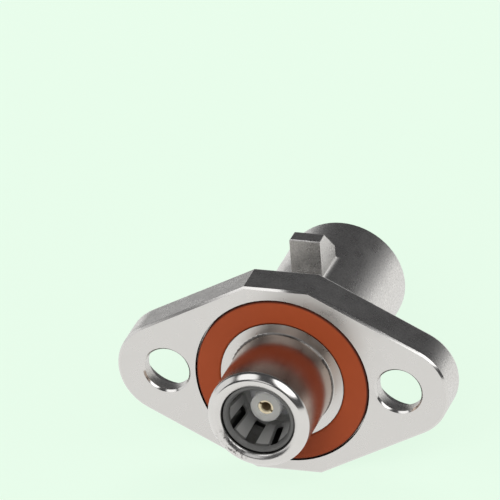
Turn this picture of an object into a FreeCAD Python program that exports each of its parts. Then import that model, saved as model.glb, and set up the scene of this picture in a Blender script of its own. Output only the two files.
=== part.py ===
# Coaxial adapter with a two-hole flange: a round locking cup with a male centre pin on one side, and a
# push-on barrel with a female centre contact on the other.
# Frame: origin on the coaxial axis in the flange's panel face, the face that holds the seal ring.
# -Y runs out of the push-on barrel, +Y out of the locking cup, +X along the flange's long axis, +Z up
# through the catch. Lengths are millimetres, and stations are distances along Y from the panel face.
import FreeCAD, Part

import math
import os

import Sketcher

NODE_FOLDER = "parts"
SHEET_NAME = "Sizes"

SIZES = {
    # flange
    "flangeThickness": 2.65,
    "flangeHalfHeight": 6.4,
    "flangeTopHalfWidth": 2.1,
    "flangeTipRadius": 3.2,
    "flangeCupEdgeRound": 0.3,
    "flangePanelEdgeChamfer": 0.13,
    # screw holes: clearance holes for a 2.5 mm screw, counterbored from the cup side
    "holeHalfSpacing": 7.55,
    "holeRadius": 1.45,
    "counterboreRadius": 2.4,
    "counterboreDepth": 1.7,
    "holeEdgeChamfer": 0.12,
    # groove for the seal ring, open to the panel face and shallow enough to stay clear of the counterbores
    "grooveInnerRadius": 3.975,
    "grooveOuterRadius": 5.65,
    "grooveDepth": 0.65,
    # push-on barrel on the panel side
    "barrelRadius": 3.28,
    "barrelLength": 5.35,
    "barrelRimChamfer": 0.36,
    "barrelRootFillet": 0.12,
    "barrelBoreRadius": 2.35,
    "barrelMouthWidth": 0.3,
    "barrelMouthDepth": 0.18,
    "boreFloorStation": 0.6,
    # locking cup on the other side
    "cupRadius": 3.94,
    "cupLength": 11.1,
    "cupBoreRadius": 3.55,
    "cupRimChamfer": 0.1,
    "cupMouthChamfer": 0.08,
    "cupRootChamfer": 0.3,
    "cupFloorStation": 1.6,
    # catch that a mating housing clips behind
    "catchHalfWidth": 1.0,
    "catchStartStation": 6.2,
    "catchFlatLength": 1.0,
    "catchRampLength": 1.85,
    "catchTopHeight": 6.6,
    "catchFrontHeight": 4.95,
    "catchRootHeight": 3.65,
    "catchEdgeRound": 0.12,
    "catchRootFillet": 0.45,
    # turned sleeve: the outer conductor of the pin side, pressed through the web of the housing
    "sleeveSpigotRadius": 2.2,
    "sleeveCollarRadius": 3.0,
    "sleeveCollarLength": 0.8,
    "sleeveNoseRadius": 1.85,
    "sleeveNoseEndStation": 11.45,
    "sleeveBoreRadius": 1.65,
    "sleeveTipChamfer": 0.08,
    "snapGrooveStation": 9.1,
    "snapGrooveLength": 0.9,
    "snapGrooveDepth": 0.1,
    # spring contact in the barrel: a ring at each end, and bars between them that bow inward
    "springRingRadius": 2.29,
    "springFrontSetback": 0.35,
    "springFrontWidth": 0.14,
    "springFrontDepth": 0.17,
    "springRingInnerRadius": 1.98,
    "springWall": 0.22,
    "springRingLength": 0.3,
    "springBaseLength": 1.1,
    "barWaistInnerRadius": 1.72,
    "barWaistLength": 0.3,
    "barFlareLength": 0.65,
    "barRootLength": 0.25,
    "slotWidth": 0.7,
    "slotStartSetback": 0.57,
    "slotRootGap": 0.25,
    "barCount": 8,
    # insulators
    "plugNoseRadius": 0.97,
    "plugNoseSetback": 1.85,
    "insulatorShoulderLength": 0.9,
    "insulatorJointStation": 0.4,
    "jackFaceSetback": 0.1,
    "jackRecessRadius": 1.1,
    "jackRecessFloorStation": 6.5,
    # centre contact: a socket in the barrel and a pin in the cup, turned in one piece
    "contactBodyRadius": 0.5,
    "contactCollarRadius": 0.8,
    "contactCollarLength": 0.6,
    "socketSetback": 0.12,
    "socketBoreRadius": 0.28,
    "socketBoreDepth": 2.1,
    "socketMouthChamfer": 0.08,
    "socketSlotWidth": 0.14,
    "socketSlotDepth": 1.5,
    "socketSlotTurn": 35,
    "pinRadius": 0.25,
    "pinTipStation": 10.85,
    "pinTipLength": 0.22,
    "pinTipRadius": 0.1,
    # seal ring: a flat moulded ring with bevelled front edges
    "sealInnerGap": 0.03,
    "sealOuterGap": 0.09,
    "sealProud": 0.06,
    "sealEdgeChamfer": 0.1,
}

HOUSING = "housing"
SLEEVE = "inner_sleeve"
SPRING = "spring_contact"
PLUG_INSULATOR = "plug_insulator"
JACK_INSULATOR = "jack_insulator"
CONTACT = "centre_contact"
SEAL = "seal_ring"

BARREL_END = "- barrelLength"
BORE_FLOOR = "- boreFloorStation"
CUP_END = "flangeThickness + cupLength"
COLLAR_END = "cupFloorStation + sleeveCollarLength"
SPRING_FRONT = "- barrelLength + springFrontSetback"
SPRING_RING_END = SPRING_FRONT + " + springRingLength"
SPRING_SHOULDER = BORE_FLOOR + " - springBaseLength"
BAR_ROOT = SPRING_SHOULDER + " - barRootLength"
BAR_WAIST_END = BAR_ROOT + " - barFlareLength"
BAR_WAIST = BAR_WAIST_END + " - barWaistLength"
PLUG_FACE = "- barrelLength + plugNoseSetback"
JACK_FACE = "sleeveNoseEndStation - jackFaceSetback"
SOCKET_END = PLUG_FACE + " + socketSetback"
CONTACT_COLLAR_END = "insulatorJointStation + contactCollarLength"
SHOULDER = BORE_FLOOR + " - insulatorShoulderLength"
AXIS = "0"

doc = FreeCAD.newDocument("CoaxialAdapter")
sheet = doc.addObject("Spreadsheet::Sheet", SHEET_NAME)
for row, (alias, value) in enumerate(SIZES.items(), start=1):
    sheet.set(f"A{row}", alias)
    sheet.set(f"B{row}", str(value))
    sheet.setAlias(f"B{row}", alias)
doc.recompute()


def amount(text):
    """The number that a sum of size names stands for."""
    total, sign = 0.0, 1
    for word in text.split():
        if word in "+-":
            sign = 1 if word == "+" else -1
            continue
        total += sign * (SIZES[word] if word in SIZES else float(word))
    return total


def formula(text):
    """The same sum as an expression that reads the sheet."""
    return " ".join(f"{SHEET_NAME}.{word}" if word in SIZES else word for word in text.split())


def newBody(label):
    body = doc.addObject("PartDesign::Body", label.title().replace("_", ""))
    body.Label = label
    return body


def originPart(body, role):
    return next(item for item in body.Origin.OriginFeatures if item.Role == role)


def newSketch(body, name, planeRole):
    sketch = body.newObject("Sketcher::SketchObject", name)
    sketch.AttachmentSupport = [(originPart(body, planeRole), "")]
    sketch.MapMode = "FlatFace"
    return sketch


def bindPoint(sketch, element, end, across, up):
    """Ties a point of the sketch to sums of sizes, measured from the sketch's origin."""
    for kind, text, axisLine in (("DistanceX", across, -2), ("DistanceY", up, -1)):
        value = amount(text)
        if abs(value) < 1e-9:
            sketch.addConstraint(Sketcher.Constraint("PointOnObject", element, end, axisLine))
            continue
        ends = (-1, 1, element, end) if value > 0 else (element, end, -1, 1)
        index = sketch.addConstraint(Sketcher.Constraint(kind, *ends, abs(value)))
        sketch.setExpression(f"Constraints[{index}]", formula(text) if value > 0 else f"-({formula(text)})")


def bindRadius(sketch, element, alias):
    index = sketch.addConstraint(Sketcher.Constraint("Radius", element, SIZES[alias]))
    sketch.setExpression(f"Constraints[{index}]", formula(alias))


def polygon(body, name, planeRole, corners):
    """A closed sketch through corners, each a pair of sums of sizes."""
    sketch = newSketch(body, name, planeRole)
    points = [FreeCAD.Vector(amount(across), amount(up), 0) for across, up in corners]
    for start, end in zip(points, points[1:] + points[:1]):
        sketch.addGeometry(Part.LineSegment(start, end))
    for index in range(len(points)):
        sketch.addConstraint(Sketcher.Constraint("Coincident", index, 2, (index + 1) % len(points), 1))
    for index, (across, up) in enumerate(corners):
        bindPoint(sketch, index, 1, across, up)
    return sketch


def circles(body, name, radiusAlias):
    """A circle round each screw hole, seen along Y."""
    sketch = newSketch(body, name, "XZ_Plane")
    for index, across in enumerate(("holeHalfSpacing", "- holeHalfSpacing")):
        centre = FreeCAD.Vector(amount(across), 0, 0)
        sketch.addGeometry(Part.Circle(centre, FreeCAD.Vector(0, 0, 1), SIZES[radiusAlias]))
        bindPoint(sketch, index, 3, across, AXIS)
        bindRadius(sketch, index, radiusAlias)
    return sketch


def turned(body, name, corners, cut=False):
    """A profile in the YZ plane turned about the Y axis, added to the body or cut from it."""
    sketch = polygon(body, name + "Profile", "YZ_Plane", corners)
    feature = body.newObject("PartDesign::Groove" if cut else "PartDesign::Revolution", name)
    feature.Profile = sketch
    feature.ReferenceAxis = (sketch, ["H_Axis"])
    feature.Angle = 360
    doc.recompute()
    return feature


def extruded(body, name, sketch, kind, length, reverse=False, symmetric=False):
    feature = body.newObject(f"PartDesign::{kind}", name)
    feature.Profile = sketch
    feature.Type = "Length"
    if symmetric:
        feature.SideType = "Symmetric"
    feature.Reversed = reverse
    feature.setExpression("Length", length)
    doc.recompute()
    return feature


def edgeNames(feature, wanted):
    return [f"Edge{number}" for number, edge in enumerate(feature.Shape.Edges, start=1) if wanted(edge)]


def dressed(body, name, kind, wanted, alias):
    """A fillet or chamfer on the wanted edges of the body so far."""
    base = body.Tip
    feature = body.newObject(f"PartDesign::{kind}", name)
    feature.Base = (base, edgeNames(base, wanted))
    sizeName = "Radius" if kind == "Fillet" else "Size"
    feature.setExpression(sizeName, formula(alias))
    doc.recompute()
    return feature


def liesAt(edge, station):
    """True for an edge that lies in the plane at this station."""
    return all(abs(vertex.Point.y - station) < 1e-4 for vertex in edge.Vertexes)


def circleAt(edge, station, radius):
    if not liesAt(edge, station):
        return False
    return edge.Curve.TypeId == "Part::GeomCircle" and abs(edge.Curve.Radius - radius) < 1e-4


def checkCut(feature, before, name):
    if before - feature.Shape.Volume < 1e-4:
        raise RuntimeError(f"{name} removes nothing")


# Flange outline: two rounded tips joined by slanted sides, cut off flat above and below the coaxial axis
def flangeOutline(body):
    half, rise = SIZES["flangeTopHalfWidth"], SIZES["flangeHalfHeight"]
    tip, radius = SIZES["holeHalfSpacing"], SIZES["flangeTipRadius"]
    reach = math.hypot(tip - half, rise)
    slant = math.atan2(-rise, tip - half) + math.asin(radius / reach)
    run = math.sqrt(reach * reach - radius * radius)
    touchX, touchZ = half + run * math.cos(slant), rise + run * math.sin(slant)
    turn = math.atan2(touchZ, touchX - tip)
    sketch = newSketch(body, "FlangeOutline", "XZ_Plane")

    def point(x, z):
        return FreeCAD.Vector(x, z, 0)

    def tipArc(x, fromAngle, toAngle):
        whole = Part.Circle(point(x, 0), FreeCAD.Vector(0, 0, 1), radius)
        return Part.ArcOfCircle(whole, fromAngle, toAngle)

    top = sketch.addGeometry(Part.LineSegment(point(-half, rise), point(half, rise)))
    upperRight = sketch.addGeometry(Part.LineSegment(point(half, rise), point(touchX, touchZ)))
    rightTip = sketch.addGeometry(tipArc(tip, -turn, turn))
    lowerRight = sketch.addGeometry(Part.LineSegment(point(touchX, -touchZ), point(half, -rise)))
    bottom = sketch.addGeometry(Part.LineSegment(point(half, -rise), point(-half, -rise)))
    lowerLeft = sketch.addGeometry(Part.LineSegment(point(-half, -rise), point(-touchX, -touchZ)))
    leftTip = sketch.addGeometry(tipArc(-tip, math.pi - turn, math.pi + turn))
    upperLeft = sketch.addGeometry(Part.LineSegment(point(-touchX, touchZ), point(-half, rise)))
    meetings = (
        ("Coincident", top, 2, upperRight, 1),
        ("Tangent", upperRight, 2, rightTip, 2),
        ("Tangent", rightTip, 1, lowerRight, 1),
        ("Coincident", lowerRight, 2, bottom, 1),
        ("Coincident", bottom, 2, lowerLeft, 1),
        ("Tangent", lowerLeft, 2, leftTip, 2),
        ("Tangent", leftTip, 1, upperLeft, 1),
        ("Coincident", upperLeft, 2, top, 1),
    )
    for meeting in meetings:
        sketch.addConstraint(Sketcher.Constraint(*meeting))
    bindPoint(sketch, top, 1, "- flangeTopHalfWidth", "flangeHalfHeight")
    bindPoint(sketch, top, 2, "flangeTopHalfWidth", "flangeHalfHeight")
    bindPoint(sketch, bottom, 1, "flangeTopHalfWidth", "- flangeHalfHeight")
    bindPoint(sketch, bottom, 2, "- flangeTopHalfWidth", "- flangeHalfHeight")
    bindPoint(sketch, rightTip, 3, "holeHalfSpacing", AXIS)
    bindPoint(sketch, leftTip, 3, "- holeHalfSpacing", AXIS)
    bindRadius(sketch, rightTip, "flangeTipRadius")
    bindRadius(sketch, leftTip, "flangeTipRadius")
    return sketch


# Housing: one casting with the flange, the barrel, the cup and the catch
def makeHousing():
    body = newBody(HOUSING)
    thickness = SIZES["flangeThickness"]
    extruded(body, "FlangePlate", flangeOutline(body), "Pad", formula("flangeThickness"), reverse=True)
    dressed(body, "CupSideEdge", "Fillet", lambda edge: liesAt(edge, thickness), "flangeCupEdgeRound")
    dressed(body, "PanelSideEdge", "Chamfer", lambda edge: liesAt(edge, 0), "flangePanelEdgeChamfer")
    turned(body, "BarrelAndCup", [
        (BARREL_END, AXIS),
        (BARREL_END, "barrelRadius - barrelRimChamfer"),
        (BARREL_END + " + barrelRimChamfer", "barrelRadius"),
        ("flangeThickness - cupFloorStation", "barrelRadius"),
        ("flangeThickness - cupFloorStation", "cupRadius"),
        (CUP_END + " - cupRimChamfer", "cupRadius"),
        (CUP_END, "cupRadius - cupRimChamfer"),
        (CUP_END, AXIS),
    ])
    dressed(body, "BarrelRoot", "Fillet",
            lambda edge: circleAt(edge, 0, SIZES["barrelRadius"]), "barrelRootFillet")
    dressed(body, "CupRoot", "Chamfer",
            lambda edge: circleAt(edge, thickness, SIZES["cupRadius"]), "cupRootChamfer")
    addCatch(body)
    cutBores(body)
    cutSealGroove(body)
    cutScrewHoles(body)
    return body


# Catch: steep face towards the flange, short flat top, ramp and blunt front towards the cup's mouth
def addCatch(body):
    start, flatEnd = "catchStartStation", "catchStartStation + catchFlatLength"
    front = flatEnd + " + catchRampLength"
    side = polygon(body, "CatchSide", "YZ_Plane", [
        (start, "catchRootHeight"),
        (start, "catchTopHeight"),
        (flatEnd, "catchTopHeight"),
        (front, "catchFrontHeight"),
        (front, "catchRootHeight"),
    ])
    extruded(body, "Catch", side, "Pad", f"2 * {formula('catchHalfWidth')}", symmetric=True)
    cupTop = SIZES["cupRadius"] + 0.1
    startStation = SIZES["catchStartStation"]

    def isCatchEdge(edge):
        box = edge.BoundBox
        return box.ZMax > cupTop and box.YMin > startStation - 0.01 and box.YMax < amount(front) + 0.01

    def isRootEdge(edge):
        box = edge.BoundBox
        inside = box.YMin > startStation - 0.01 and box.YMax < amount(front) + 0.01
        return inside and SIZES["catchRootHeight"] < box.ZMin and box.ZMax < cupTop

    dressed(body, "CatchRoot", "Fillet", isRootEdge, "catchRootFillet")
    dressed(body, "CatchEdges", "Fillet",
            lambda edge: isCatchEdge(edge) and edge.BoundBox.ZMin > cupTop + 0.3, "catchEdgeRound")


# Bores: the barrel's bore, the hole through the web and the inside of the cup, in one stepped cut
def cutBores(body):
    before = body.Tip.Shape.Volume
    bores = turned(body, "Bores", [
        (BARREL_END, AXIS),
        (BARREL_END, "barrelBoreRadius + barrelMouthWidth"),
        (BARREL_END + " + barrelMouthDepth", "barrelBoreRadius"),
        (BORE_FLOOR, "barrelBoreRadius"),
        (BORE_FLOOR, "sleeveSpigotRadius"),
        ("cupFloorStation", "sleeveSpigotRadius"),
        ("cupFloorStation", "cupBoreRadius"),
        (CUP_END + " - cupMouthChamfer", "cupBoreRadius"),
        (CUP_END, "cupBoreRadius + cupMouthChamfer"),
        (CUP_END, AXIS),
    ], cut=True)
    checkCut(bores, before, "the stepped bore")


def cutSealGroove(body):
    before = body.Tip.Shape.Volume
    groove = turned(body, "SealGroove", [
        (AXIS, "grooveInnerRadius"),
        ("grooveDepth", "grooveInnerRadius"),
        ("grooveDepth", "grooveOuterRadius"),
        (AXIS, "grooveOuterRadius"),
    ], cut=True)
    checkCut(groove, before, "the seal groove")


def cutScrewHoles(body):
    before = body.Tip.Shape.Volume
    holes = circles(body, "ScrewHoles", "holeRadius")
    drilled = extruded(body, "ScrewHoleCut", holes, "Pocket", f"2 * {formula('flangeThickness')}")
    checkCut(drilled, before, "the screw holes")
    before = body.Tip.Shape.Volume
    seats = circles(body, "Counterbores", "counterboreRadius")
    floor = "counterboreDepth - flangeThickness"
    seats.setExpression("AttachmentOffset.Base.z", formula(floor))
    cut = extruded(body, "CounterboreCut", seats, "Pocket", f"2 * {formula('counterboreDepth')}")
    checkCut(cut, before, "the counterbores")
    dressed(body, "HoleEdges", "Chamfer",
            lambda edge: circleAt(edge, 0, SIZES["holeRadius"]), "holeEdgeChamfer")


# Inner sleeve: spigot pressed through the web, collar on the cup's floor, and the nose with its snap groove
def makeSleeve():
    body = newBody(SLEEVE)
    grooveEnd = "snapGrooveStation + snapGrooveLength"
    turned(body, "Sleeve", [
        (BORE_FLOOR, "sleeveBoreRadius"),
        (BORE_FLOOR, "sleeveSpigotRadius"),
        ("cupFloorStation", "sleeveSpigotRadius"),
        ("cupFloorStation", "sleeveCollarRadius"),
        (COLLAR_END, "sleeveCollarRadius"),
        (COLLAR_END, "sleeveNoseRadius"),
        ("snapGrooveStation", "sleeveNoseRadius"),
        ("snapGrooveStation + snapGrooveDepth", "sleeveNoseRadius - snapGrooveDepth"),
        (grooveEnd + " - snapGrooveDepth", "sleeveNoseRadius - snapGrooveDepth"),
        (grooveEnd, "sleeveNoseRadius"),
        ("sleeveNoseEndStation - sleeveTipChamfer", "sleeveNoseRadius"),
        ("sleeveNoseEndStation", "sleeveNoseRadius - sleeveTipChamfer"),
        ("sleeveNoseEndStation", "sleeveBoreRadius"),
    ])
    return body


# Spring contact: a turned sleeve whose slots leave a ring at the mouth, bars with a waist, and a base ring
def makeSpring():
    body = newBody(SPRING)
    turned(body, "SpringBlank", [
        (SPRING_FRONT, "springRingInnerRadius + springFrontWidth"),
        (SPRING_FRONT, "springRingRadius"),
        (SPRING_RING_END, "springRingRadius"),
        (SPRING_RING_END, "springRingInnerRadius + springWall"),
        (BAR_WAIST, "barWaistInnerRadius + springWall"),
        (BAR_WAIST_END, "barWaistInnerRadius + springWall"),
        (BAR_ROOT, "springRingInnerRadius + springWall"),
        (SPRING_SHOULDER, "springRingInnerRadius + springWall"),
        (SPRING_SHOULDER, "barrelBoreRadius"),
        (BORE_FLOOR, "barrelBoreRadius"),
        (BORE_FLOOR, "sleeveBoreRadius"),
        (SHOULDER, "sleeveBoreRadius"),
        (SHOULDER, "springRingInnerRadius"),
        (BAR_ROOT, "springRingInnerRadius"),
        (BAR_WAIST_END, "barWaistInnerRadius"),
        (BAR_WAIST, "barWaistInnerRadius"),
        (SPRING_FRONT + " + springFrontDepth", "springRingInnerRadius"),
    ])
    before = body.Tip.Shape.Volume
    slotStart = "- barrelLength + slotStartSetback"
    slotEnd = SPRING_SHOULDER + " - slotRootGap"
    slot = polygon(body, "SlotSide", "XY_Plane", [
        ("barWaistInnerRadius - slotWidth", slotStart),
        ("barrelBoreRadius", slotStart),
        ("barrelBoreRadius", slotEnd),
        ("barWaistInnerRadius - slotWidth", slotEnd),
    ])
    slot.AttachmentOffset = FreeCAD.Placement(FreeCAD.Vector(), FreeCAD.Rotation(FreeCAD.Vector(0, 1, 0), 1))
    slot.setExpression("AttachmentOffset.Rotation.Angle", f"180 / {SHEET_NAME}.barCount")
    cut = extruded(body, "Slot", slot, "Pocket", formula("slotWidth"), symmetric=True)
    checkCut(cut, before, "the slot between the bars")
    slots = body.newObject("PartDesign::PolarPattern", "Slots")
    slots.Originals = [cut]
    slots.Axis = (originPart(body, "Y_Axis"), [""])
    slots.Angle = 360
    slots.setExpression("Occurrences", f"{SHEET_NAME}.barCount")
    body.Tip = slots
    doc.recompute()
    return body


# Plug insulator: a slim nose round the socket, with a shoulder held in the base of the spring contact
def makePlugInsulator():
    body = newBody(PLUG_INSULATOR)
    turned(body, "PlugInsulator", [
        (PLUG_FACE, "contactBodyRadius"),
        (PLUG_FACE, "plugNoseRadius"),
        (SHOULDER, "plugNoseRadius"),
        (SHOULDER, "sleeveBoreRadius"),
        ("insulatorJointStation", "sleeveBoreRadius"),
        ("insulatorJointStation", "contactBodyRadius"),
    ])
    return body


# Jack insulator: fills the sleeve and leaves a round recess about the pin
def makeJackInsulator():
    body = newBody(JACK_INSULATOR)
    turned(body, "JackInsulator", [
        ("insulatorJointStation", "contactCollarRadius"),
        ("insulatorJointStation", "sleeveBoreRadius"),
        (JACK_FACE, "sleeveBoreRadius"),
        (JACK_FACE, "jackRecessRadius"),
        ("jackRecessFloorStation", "jackRecessRadius"),
        ("jackRecessFloorStation", "contactBodyRadius"),
        (CONTACT_COLLAR_END, "contactBodyRadius"),
        (CONTACT_COLLAR_END, "contactCollarRadius"),
    ])
    return body


# Centre contact: slit socket, collar between the two insulators, and the pin
def makeContact():
    body = newBody(CONTACT)
    socketFloor = SOCKET_END + " + socketBoreDepth"
    turned(body, "Contact", [
        (SOCKET_END, "socketBoreRadius + socketMouthChamfer"),
        (SOCKET_END, "contactBodyRadius"),
        ("insulatorJointStation", "contactBodyRadius"),
        ("insulatorJointStation", "contactCollarRadius"),
        (CONTACT_COLLAR_END, "contactCollarRadius"),
        (CONTACT_COLLAR_END, "contactBodyRadius"),
        ("jackRecessFloorStation", "contactBodyRadius"),
        ("jackRecessFloorStation", "pinRadius"),
        ("pinTipStation - pinTipLength", "pinRadius"),
        ("pinTipStation", "pinTipRadius"),
        ("pinTipStation", AXIS),
        (socketFloor, AXIS),
        (socketFloor, "socketBoreRadius"),
        (SOCKET_END + " + socketMouthChamfer", "socketBoreRadius"),
    ])
    before = body.Tip.Shape.Volume
    slitEnd = SOCKET_END + " + socketSlotDepth"
    slit = polygon(body, "SlitSide", "XY_Plane", [
        ("- contactCollarRadius", PLUG_FACE),
        ("contactCollarRadius", PLUG_FACE),
        ("contactCollarRadius", slitEnd),
        ("- contactCollarRadius", slitEnd),
    ])
    slit.AttachmentOffset = FreeCAD.Placement(FreeCAD.Vector(), FreeCAD.Rotation(FreeCAD.Vector(0, 1, 0), 1))
    slit.setExpression("AttachmentOffset.Rotation.Angle", formula("socketSlotTurn"))
    cut = extruded(body, "Slit", slit, "Pocket", formula("socketSlotWidth"), symmetric=True)
    checkCut(cut, before, "the socket slit")
    return body


# Seal ring: fills the groove but for a slip gap at its sides, and stands proud of the panel face
def makeSeal():
    body = newBody(SEAL)
    inner, outer = "grooveInnerRadius + sealInnerGap", "grooveOuterRadius - sealOuterGap"
    turned(body, "Ring", [
        ("- sealProud", inner),
        ("- sealProud", outer),
        ("grooveDepth", outer),
        ("grooveDepth", inner),
    ])
    dressed(body, "RingEdges", "Chamfer",
            lambda edge: liesAt(edge, -SIZES["sealProud"]), "sealEdgeChamfer")
    return body


bodies = [
    makeHousing(),
    makeSleeve(),
    makeSpring(),
    makePlugInsulator(),
    makeJackInsulator(),
    makeContact(),
    makeSeal(),
]
doc.recompute()
for item in doc.Objects:
    if {"Invalid", "Error"} & set(item.State):
        raise RuntimeError(f"{item.Name} did not build: {item.State}")
os.makedirs(NODE_FOLDER, exist_ok=True)
for body in bodies:
    shape = body.Shape
    if shape.isNull() or not shape.isValid() or len(shape.Solids) != 1:
        raise RuntimeError(f"{body.Label} is not one valid solid")
    shape.exportStep(os.path.join(NODE_FOLDER, f"{body.Label}.step"))
    box = shape.BoundBox
    print(f"{body.Label}: {shape.Volume:.2f} mm3, X {box.XMin:.2f}..{box.XMax:.2f},"
          f" Y {box.YMin:.2f}..{box.YMax:.2f}, Z {box.ZMin:.2f}..{box.ZMax:.2f}")
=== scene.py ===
from math import cos, inf, radians, sin

import bmesh
import bpy
from mathutils import Matrix, Vector


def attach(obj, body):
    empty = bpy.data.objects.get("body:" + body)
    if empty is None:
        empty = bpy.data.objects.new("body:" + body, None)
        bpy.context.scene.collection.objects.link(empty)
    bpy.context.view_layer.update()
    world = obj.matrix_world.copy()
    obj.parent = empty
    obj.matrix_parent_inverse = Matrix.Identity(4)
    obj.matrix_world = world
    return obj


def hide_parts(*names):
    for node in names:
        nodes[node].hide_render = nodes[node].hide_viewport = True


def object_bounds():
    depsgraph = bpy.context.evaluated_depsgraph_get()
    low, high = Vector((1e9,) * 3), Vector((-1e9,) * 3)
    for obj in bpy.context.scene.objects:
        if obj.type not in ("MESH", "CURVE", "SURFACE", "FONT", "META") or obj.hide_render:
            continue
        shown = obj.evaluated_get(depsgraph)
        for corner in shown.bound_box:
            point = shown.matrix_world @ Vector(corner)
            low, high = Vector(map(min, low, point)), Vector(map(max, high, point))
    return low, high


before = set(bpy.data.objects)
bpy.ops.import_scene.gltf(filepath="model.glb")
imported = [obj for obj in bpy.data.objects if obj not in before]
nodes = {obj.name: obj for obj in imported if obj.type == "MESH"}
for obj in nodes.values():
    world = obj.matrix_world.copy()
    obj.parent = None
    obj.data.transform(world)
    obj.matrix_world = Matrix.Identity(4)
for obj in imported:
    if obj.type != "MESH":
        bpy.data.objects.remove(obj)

mm = 0.001
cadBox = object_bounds()


# Camera: the photo's viewing angle through a very long lens, turned about a point beside the adapter
cameraView = {
    "azimuth": 19.37,
    "elevation": 27.94,
    "roll": -4.36,
    "distance": 558.5,
    "aim": (-2.57, 3.19, 7.28),
    "lens": 648,
    "sensor": 36,
    "clipStart": 50,
    "clipEnd": 5000,
}


def addCamera(view):
    turn, lift = radians(view["azimuth"]), radians(view["elevation"])
    forward = Vector((-sin(turn) * cos(lift), cos(turn) * cos(lift), -sin(lift)))
    data = bpy.data.cameras.new("photo camera")
    data.lens = view["lens"]
    data.sensor_width = view["sensor"]
    data.clip_start = view["clipStart"] * mm
    data.clip_end = view["clipEnd"] * mm
    camera = bpy.data.objects.new("photo camera", data)
    bpy.context.scene.collection.objects.link(camera)
    camera.location = Vector(view["aim"]) * mm - forward * view["distance"] * mm
    upright = forward.to_track_quat("-Z", "Y")
    camera.rotation_mode = "QUATERNION"
    camera.rotation_quaternion = upright @ Matrix.Rotation(radians(view["roll"]), 3, "Z").to_quaternion()
    bpy.context.scene.camera = camera
    print("camera is set")


def addNode(tree, kind, settings=None, **attributes):
    node = tree.nodes.new(kind)
    for name, value in attributes.items():
        setattr(node, name, value)
    for socket, value in (settings or {}).items():
        node.inputs[socket].default_value = value
    return node


# Colour mix: socket 0 is the factor, sockets 6 and 7 the two colours, output 2 the result
def addMix(tree, first, second):
    mix = addNode(tree, "ShaderNodeMix", data_type="RGBA")
    mix.inputs[6].default_value = (*first, 1)
    mix.inputs[7].default_value = (*second, 1)
    return mix


# Lay a tint over a colour, as far as the share says
def addTint(tree, colour, tint, share):
    mix = addMix(tree, (0, 0, 0), tint)
    tree.links.new(share, mix.inputs[0])
    tree.links.new(colour, mix.inputs[6])
    return mix.outputs[2]


# Smooth step from 0 at one value to 1 at the other
def addStep(tree, source, start, end):
    step = addNode(tree, "ShaderNodeMapRange", {"From Min": start, "From Max": end},
                   interpolation_type="SMOOTHSTEP")
    tree.links.new(source, step.inputs["Value"])
    return step.outputs["Result"]


def addMath(tree, operation, first, second):
    node = addNode(tree, "ShaderNodeMath", operation=operation)
    for socket, value in zip(node.inputs, (first, second)):
        if isinstance(value, (int, float)):
            socket.default_value = value
        else:
            tree.links.new(value, socket)
    return node.outputs[0]


# Studio: a pale floor at the flange's lowest edge, and a dark sky that glows low behind the part
studio = {
    "floorSize": 1.2,
    "floorPaint": (0.88, 0.88, 0.87),
    "backgroundPaint": (0.81, 1.0, 0.835),  # what the camera sees beside the object's shadow
    "mirroredPaint": (0.90, 0.90, 0.885),   # what metal sees
    "backgroundShare": 0.9,
    "sky": (0.07, 0.07, 0.072),
    "rightGlow": (0.50, 0.50, 0.50),
    "leftGlow": (0.38, 0.38, 0.385),
    "glowTopToHorizon": (0.36, 0.0),        # directions in which the glow, or its right colour, sets in
    "glowFrontToBack": (-0.2, 0.4),
    "glowLeftToRight": (-0.4, 0.3),
}
lamps = {                                   # soft light for rubber and plastic; metal doesn't show the lamps
    "soft front lamp": {"spot": (15, -165, 118), "size": 110, "power": 0.215},
    "soft back lamp": {"spot": (-40, 165, 118), "size": 110, "power": 0.17},
}
panels = {                                  # pale discs in the sky, inner and outer edge in degrees
    "front": {"towards": (-0.12, -0.87, 0.46), "inner": 9, "outer": 18, "strength": 0.75},
    "upperLeft": {"towards": (-0.46, -0.44, 0.77), "inner": 14, "outer": 20, "strength": 1.2},
    "upperRight": {"towards": (0.64, -0.32, 0.70), "inner": 22, "outer": 27, "strength": 1.6},
    "left": {"towards": (-0.95, -0.15, 0.27), "inner": 16, "outer": 24, "strength": 0.8},
}


# Floor: rays from the camera and from metal mostly see its glow, and the rest shows the object's shadow
def addFloor():
    plane = bmesh.new()
    bmesh.ops.create_grid(plane, x_segments=1, y_segments=1, size=studio["floorSize"] / 2)
    bmesh.ops.translate(plane, verts=plane.verts, vec=(0, 0, cadBox[0][2]))
    mesh = bpy.data.meshes.new("floor")
    plane.to_mesh(mesh)
    plane.free()
    floor = bpy.data.objects.new("floor", mesh)
    bpy.context.scene.collection.objects.link(floor)
    finish = bpy.data.materials.new("pale floor")
    finish.use_nodes = True
    tree = finish.node_tree
    tree.nodes.remove(tree.nodes["Principled BSDF"])
    paint = addNode(tree, "ShaderNodeBsdfDiffuse", {"Color": (*studio["floorPaint"], 1)})
    glow = addNode(tree, "ShaderNodeEmission", {"Strength": 1.0})
    ray = addNode(tree, "ShaderNodeLightPath")
    mirrored = addMath(tree, "MAXIMUM", ray.outputs["Is Glossy Ray"], ray.outputs["Is Transmission Ray"])
    seen = addMath(tree, "MAXIMUM", ray.outputs["Is Camera Ray"], mirrored)
    glowColour = addMix(tree, studio["backgroundPaint"], studio["mirroredPaint"])
    tree.links.new(mirrored, glowColour.inputs[0])
    tree.links.new(glowColour.outputs[2], glow.inputs["Color"])
    blend = addNode(tree, "ShaderNodeMixShader")
    tree.links.new(addMath(tree, "MULTIPLY", seen, studio["backgroundShare"]), blend.inputs["Fac"])
    tree.links.new(paint.outputs[0], blend.inputs[1])
    tree.links.new(glow.outputs[0], blend.inputs[2])
    tree.links.new(blend.outputs[0], tree.nodes["Material Output"].inputs["Surface"])
    mesh.materials.append(finish)
    print("floor is set")


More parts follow.
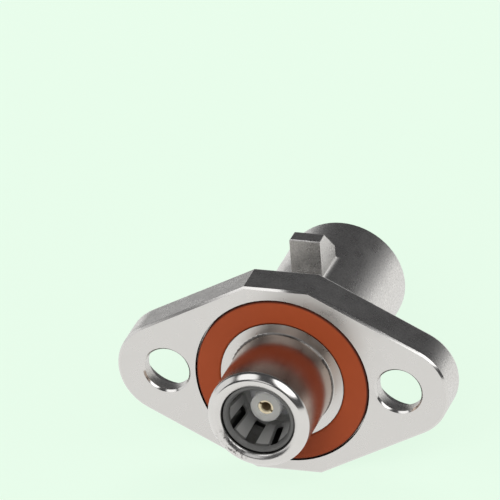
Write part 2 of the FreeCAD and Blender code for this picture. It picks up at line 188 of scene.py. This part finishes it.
def addLamps():
    for name, lamp in lamps.items():
        data = bpy.data.lights.new(name, "AREA")
        data.shape = "DISK"
        data.size = lamp["size"] * mm
        data.energy = lamp["power"]
        light = bpy.data.objects.new(name, data)
        bpy.context.scene.collection.objects.link(light)
        light.location = Vector(lamp["spot"]) * mm
        light.rotation_mode = "QUATERNION"
        light.rotation_quaternion = (-Vector(lamp["spot"])).to_track_quat("-Z", "Y")
        light.visible_glossy = False
    print("lamps are set")


def addSky():
    world = bpy.data.worlds.new("studio")
    bpy.context.scene.world = world
    world.use_nodes = True
    tree = world.node_tree
    place = addNode(tree, "ShaderNodeTexCoord")
    axes = addNode(tree, "ShaderNodeSeparateXYZ")
    tree.links.new(place.outputs["Generated"], axes.inputs[0])
    low = addStep(tree, axes.outputs["Z"], *studio["glowTopToHorizon"])
    behind = addStep(tree, axes.outputs["Y"], *studio["glowFrontToBack"])
    glow = addMix(tree, studio["leftGlow"], studio["rightGlow"])
    tree.links.new(addStep(tree, axes.outputs["X"], *studio["glowLeftToRight"]), glow.inputs[0])
    whole = addMix(tree, studio["sky"], (0, 0, 0))
    tree.links.new(glow.outputs[2], whole.inputs[7])
    tree.links.new(addMath(tree, "MULTIPLY", low, behind), whole.inputs[0])
    colour = whole.outputs[2]
    for panel in panels.values():
        towards = Vector(panel["towards"]).normalized()
        facing = addNode(tree, "ShaderNodeVectorMath", {1: towards}, operation="DOT_PRODUCT")
        tree.links.new(place.outputs["Generated"], facing.inputs[0])
        edge = [cos(radians(panel[side])) for side in ("outer", "inner")]
        share = addStep(tree, facing.outputs["Value"], *edge)
        colour = addTint(tree, colour, [panel["strength"]] * 3, share)
    tree.links.new(colour, tree.nodes["Background"].inputs["Color"])
    print("sky is set")


# Materials: noise values that soft mottling and fine grain are stretched from
mottleSpan = (0.3, 0.7)
grainSpan = (0.35, 0.65)


def newMaterial(name, settings):
    material = bpy.data.materials.new(name)
    material.use_nodes = True
    surface = material.node_tree.nodes["Principled BSDF"]
    for socket, value in settings.items():
        surface.inputs[socket].default_value = value
    return material, material.node_tree, surface


def addNoise(tree, place, scale, detail=3.0, roughness=0.55):
    noise = addNode(tree, "ShaderNodeTexNoise", {"Scale": scale, "Detail": detail, "Roughness": roughness})
    tree.links.new(place, noise.inputs["Vector"])
    return noise.outputs["Fac"]


def addRange(tree, source, span, low, high):
    stretch = addNode(tree, "ShaderNodeMapRange", {
        "From Min": span[0], "From Max": span[1], "To Min": low, "To Max": high})
    tree.links.new(source, stretch.inputs["Value"])
    return stretch.outputs["Result"]


# Worn patch: grainy, and fading out away from its spot
def addWear(tree, place, wear):
    spot = [value * mm for value in wear["spot"]]
    away = addNode(tree, "ShaderNodeVectorMath", {1: spot}, operation="DISTANCE")
    tree.links.new(place, away.inputs[0])
    close = addStep(tree, away.outputs["Value"], wear["reach"] * mm, wear["core"] * mm)
    grain = addNoise(tree, place, wear["grain"], roughness=0.6)
    return addMath(tree, "MULTIPLY", close, addStep(tree, grain, *wear["span"]))


# Share of each area: the product of its smooth steps in radius from the coaxial axis and station along it
def addShares(tree, place, look):
    flat = addNode(tree, "ShaderNodeVectorMath", {1: (1, 0, 1)}, operation="MULTIPLY")
    radius = addNode(tree, "ShaderNodeVectorMath", operation="LENGTH")
    axes = addNode(tree, "ShaderNodeSeparateXYZ")
    tree.links.new(place, flat.inputs[0])
    tree.links.new(flat.outputs[0], radius.inputs[0])
    tree.links.new(place, axes.inputs[0])
    places = {"radius": radius.outputs["Value"], "station": axes.outputs["Y"]}
    shares = {}
    for area, steps in look.get("areas", {}).items():
        share = 1.0
        for along, start, end in steps:
            share = addMath(tree, "MULTIPLY", share, addStep(tree, places[along], start * mm, end * mm))
        shares[area] = share
    if "wear" in look:
        shares["wear"] = addWear(tree, place, look["wear"])
    return shares


def addTone(tree, mottle, look):
    tone = addMix(tree, [value * look["shade"] for value in look["colour"]], look["colour"])
    tree.links.new(mottle, tone.inputs[0])
    return tone.outputs[2]


# Last links: each area's tint in the order given, and the relief
def finishSurface(tree, surface, look, colour, height, shares):
    for area, tint in look.get("tints", {}).items():
        colour = addTint(tree, colour, tint, shares[area])
    relief = addNode(tree, "ShaderNodeBump", {"Strength": 1.0, "Distance": look["bump"] * mm})
    tree.links.new(height, relief.inputs["Height"])
    tree.links.new(relief.outputs["Normal"], surface.inputs["Normal"])
    tree.links.new(colour, surface.inputs["Base Color"])


# Plated metal: fine grain, soft mottling in gloss and tone, and areas with a gloss or tint of their own
def metalFinish(name, look):
    material, tree, surface = newMaterial(name, {"Metallic": look.get("metallic", 1.0)})
    place = addNode(tree, "ShaderNodeTexCoord").outputs["Object"]
    shares = addShares(tree, place, look)
    grain = addNoise(tree, place, look["grain"])
    mottle = addNoise(tree, place, look["mottle"])
    gloss, spread = look["roughness"], look["spread"]
    roughness = addRange(tree, mottle, mottleSpan, gloss - spread, gloss + spread)
    for area, value in look.get("glosses", {}).items():
        mix = addNode(tree, "ShaderNodeMix", {3: value}, data_type="FLOAT")
        tree.links.new(shares[area], mix.inputs[0])
        tree.links.new(roughness, mix.inputs[2])
        roughness = mix.outputs[0]
    tree.links.new(roughness, surface.inputs["Roughness"])
    colour, height = addTone(tree, mottle, look), grain
    if "specks" in look:                    # only the cast sides have specks and the full grain
        sides, least = shares["castSides"], look["leastGrain"]
        height = addMath(tree, "MULTIPLY", grain,
                         addMath(tree, "ADD", addMath(tree, "MULTIPLY", sides, 1 - least), least))
        specks = addRange(tree, grain, grainSpan, -look["specks"], look["specks"])
        speckled = addNode(tree, "ShaderNodeVectorMath", operation="SCALE")
        tree.links.new(colour, speckled.inputs[0])
        brightness = addMath(tree, "ADD", addMath(tree, "MULTIPLY", specks, sides), 1.0)
        tree.links.new(brightness, speckled.inputs["Scale"])
        colour = speckled.outputs[0]
    finishSurface(tree, surface, look, colour, height, shares)
    return material


# Rubber and plastic: even gloss, with a softer grain
def softFinish(name, look):
    material, tree, surface = newMaterial(name, look["shader"])
    place = addNode(tree, "ShaderNodeTexCoord").outputs["Object"]
    shares = addShares(tree, place, look)
    grain = addNoise(tree, place, look["grain"], detail=2.0, roughness=0.5)
    colour = addTone(tree, addNoise(tree, place, look["mottle"]), look)
    finishSurface(tree, surface, look, colour, grain, shares)
    return material


# Pieces: lengths in millimetres, angles in degrees
meshing = {
    "weld": 0.0005,
    "flatAngle": 0.3,        # faces that differ by less are joined
    "roundingAngle": 24,     # convex edges sharper than this are rounded off
    "segments": 3,
    "smoothAngle": 28,       # edges sharper than this show as edges
    "chamferAngle": 50,      # the same for edges that run round the axis, because those are small chamfers
    "level": 0.001,          # an edge whose ends differ by less in station runs round the axis
    "normalWeight": 100,
}


# Sharp convex edges between two stations and outside a radius
def edgesToRound(shape, step):
    start, end = step.get("from", -inf) * mm, step.get("to", inf) * mm
    inner = step.get("outside", 0) * mm
    angle = radians(step.get("angle", meshing["roundingAngle"]))
    return [edge for edge in shape.edges
            if len(edge.link_faces) == 2 and edge.is_convex and edge.calc_face_angle(0) > angle
            and all(start < corner.co.y < end and corner.co.xz.length > inner for corner in edge.verts)]


def shadeSmooth(shape):
    for face in shape.faces:
        face.smooth = True
    for edge in shape.edges:
        first, second = edge.verts
        runsRound = abs(first.co.y - second.co.y) < meshing["level"] * mm
        limit = meshing["chamferAngle" if runsRound else "smoothAngle"]
        edge.smooth = len(edge.link_faces) == 2 and edge.calc_face_angle(0) < radians(limit)


# Smooth copy of a CAD solid: welded, flat areas joined, sharp outer edges rounded off
def addPiece(name, piece, material):
    shape = bmesh.new()
    shape.from_mesh(nodes[piece["node"]].data)
    bmesh.ops.remove_doubles(shape, verts=shape.verts, dist=meshing["weld"] * mm)
    bmesh.ops.dissolve_limit(shape, angle_limit=radians(meshing["flatAngle"]),
                             verts=shape.verts, edges=shape.edges)
    for step in piece["rounding"]:
        bmesh.ops.bevel(shape, geom=edgesToRound(shape, step), offset=step["size"] * mm, offset_type="OFFSET",
                        affect="EDGES", segments=step.get("segments", meshing["segments"]), profile=0.5,
                        clamp_overlap=True, material=-1)
    shadeSmooth(shape)
    mesh = bpy.data.meshes.new(name)
    shape.to_mesh(mesh)
    shape.free()
    mesh.materials.append(material)
    body = bpy.data.objects.new(name, mesh)
    bpy.context.scene.collection.objects.link(body)
    weight = body.modifiers.new("even shading", "WEIGHTED_NORMAL")
    weight.keep_sharp = True
    weight.weight = meshing["normalWeight"]
    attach(body, "root")
    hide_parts(piece["node"])
    print(name, "is made")


addCamera(cameraView)
addFloor()
addLamps()
addSky()

# Housing: a satin nickel casting with a smooth barrel; a step goes from 0 at its first value to 1 at its last
housingCasting = {
    "node": "housing", "slot": "nickel_casting",
    "rounding": [
        {"size": 0.15, "from": -0.01, "to": 0.01, "outside": 5.8, "angle": 60, "segments": 5},  # panel face
        {"size": 0.13, "from": 6.15, "to": 6.25, "outside": 4.2},                               # catch
        {"size": 0.10, "from": -6, "to": -4.9},                                                 # barrel's rim
        {"size": 0.08},
    ],
    "colour": (0.80, 0.785, 0.765), "shade": 0.93, "roughness": 0.30, "spread": 0.06,
    "grain": 9000, "mottle": 900, "bump": 0.012, "specks": 0.14, "leastGrain": 0.04,
    "areas": {
        "castSides": [("station", 0.05, 0.25)],
        "outline": [("station", 0.003, 0.015), ("station", 0.2, 0.12)],
        "barrel": [("radius", 3.5, 3.35), ("station", -0.02, -0.12)],
        "paintedBarrelSideShade": [("radius", 3.5, 3.35), ("station", -0.02, -0.12), ("station", -4.9, -4.8)],
        "rim": [("radius", 3.5, 3.35), ("station", -4.8, -4.9), ("radius", 2.62, 2.72)],
        "root": [("radius", 3.5, 3.42), ("station", -0.004, -0.02), ("station", -0.15, -0.11)],
        "paintedCupShade": [("radius", 3.68, 3.6), ("station", 1.0, 1.4)],
        "paintedBoreShade": [("radius", 2.41, 2.36)],
    },
    "wear": {"spot": (-1.9, -5.35, -2.0), "reach": 1.5, "core": 0.6, "grain": 4200, "span": (0.53, 0.60)},
    "glosses": {"outline": 0.15, "barrel": 0.24, "rim": 0.15},
    "tints": {
        # barrel side: painted shade, with a warm tint that is a painted reflection of the seal ring
        "paintedBarrelSideShade": (0.50, 0.41, 0.355),
        # barrel root: painted shade in the fillet, dimming its highlight
        "root": (0.20, 0.19, 0.18),
        "wear": (0.30, 0.29, 0.28),
        # painted shade inside the cup
        "paintedCupShade": (0.24, 0.215, 0.195),
        # painted shade inside the bore, on top of its duller unplated metal
        "paintedBoreShade": (0.35, 0.35, 0.34),
    },
}
addPiece("housingCasting", housingCasting, metalFinish("nickelCast", housingCasting))

turnedSleeve = {
    "node": "inner_sleeve", "slot": "nickel_turned", "rounding": [{"size": 0.03}],
    "colour": (0.82, 0.81, 0.79), "shade": 0.96, "roughness": 0.16, "spread": 0.04,
    "grain": 9000, "mottle": 900, "bump": 0.001,
}
addPiece("turnedSleeve", turnedSleeve, metalFinish("nickelTurned", turnedSleeve))

# Slotted spring contact: dull plating, darker on the ring at the mouth
springBars = {
    "node": "spring_contact", "slot": "spring_alloy", "rounding": [{"size": 0.02}],
    "colour": (0.62, 0.62, 0.61), "shade": 0.88, "metallic": 0.82, "roughness": 0.62, "spread": 0.06,
    "grain": 9000, "mottle": 1500, "bump": 0.003,
    "areas": {"mouthRing": [("station", -4.54, -4.66)]},
    "tints": {"mouthRing": (0.20, 0.20, 0.195)},
}
addPiece("springBars", springBars, metalFinish("springPlating", springBars))

# Both insulators are the same waxy white plastic, with painted shade on the plug's front face
fluoropolymer = {
    "shader": {"Roughness": 0.45, "Subsurface Weight": 1.0, "Subsurface Scale": 1.2 * mm,
               "Subsurface Radius": (1.0, 1.0, 0.95)},
    "colour": (0.90, 0.90, 0.885), "shade": 0.97, "mottle": 700, "grain": 6000, "bump": 0.001,
    "areas": {"paintedFaceShade": [("station", -3.43, -3.48)]},
    "tints": {"paintedFaceShade": (0.52, 0.52, 0.49)},
}
insulatorFinish = softFinish("fluoropolymer", fluoropolymer)
plugInsulatorNose = {"node": "plug_insulator", "slot": "insulator", "rounding": [{"size": 0.03}]}
addPiece("plugInsulatorNose", plugInsulatorNose, insulatorFinish)
jackInsulatorFilling = {"node": "jack_insulator", "slot": "insulator", "rounding": [{"size": 0.03}]}
addPiece("jackInsulatorFilling", jackInsulatorFilling, insulatorFinish)

# Centre contact: gold plated, with painted shade inside the socket
goldCentreContact = {
    "node": "centre_contact", "slot": "gold_contact", "rounding": [{"size": 0.02}],
    "colour": (0.95, 0.84, 0.60), "shade": 0.95, "metallic": 0.9, "roughness": 0.32, "spread": 0.04,
    "grain": 9000, "mottle": 1500, "bump": 0.001,
    "areas": {"socket": [("radius", 0.30, 0.25)]},
    # painted shade inside the socket
    "tints": {"socket": (0.50, 0.29, 0.09)},
}
addPiece("goldCentreContact", goldCentreContact, metalFinish("goldPlating", goldCentreContact))

# Seal ring: matt silicone rubber, shaded where its outer edge turns into the groove
siliconeRing = {
    "node": "seal_ring", "slot": "silicone", "rounding": [{"size": 0.03}],
    "shader": {"Roughness": 0.6, "Specular IOR Level": 0.25},
    "colour": (0.36, 0.066, 0.019), "shade": 0.88, "mottle": 500, "grain": 7000, "bump": 0.002,
    "areas": {"outerEdge": [("radius", 5.42, 5.54)]},
    "tints": {"outerEdge": (0.06, 0.011, 0.005)},
}
addPiece("siliconeRing", siliconeRing, softFinish("silicone", siliconeRing))

bpy.context.scene.view_settings.view_transform = "Standard"
